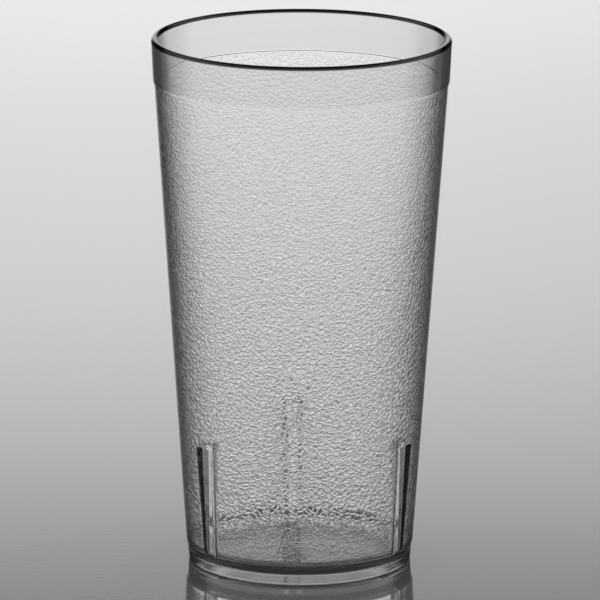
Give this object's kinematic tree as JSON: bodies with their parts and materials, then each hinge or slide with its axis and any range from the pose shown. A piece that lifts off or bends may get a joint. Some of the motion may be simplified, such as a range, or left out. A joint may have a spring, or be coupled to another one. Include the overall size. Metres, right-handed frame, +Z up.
{
  "type": "plastic tumbler cup",
  "caption": "Clear stacking tumbler with a smooth lip band, a grained tapering body, upright stacking lugs near the base and a smooth foot ring.",
  "frame": {"origin": "centre of the foot's resting plane, on the cup's axis", "axes": "+Z up along the cup's axis, -Y towards the picture's camera, +X to the picture's right"},
  "size_m": [0.087, 0.087, 0.1555],
  "materials": {
    "clear_plastic": "gloss"
  },
  "bodies": {
    "root": {"tumbler": "clear_plastic"}
  },
  "joints": []
}
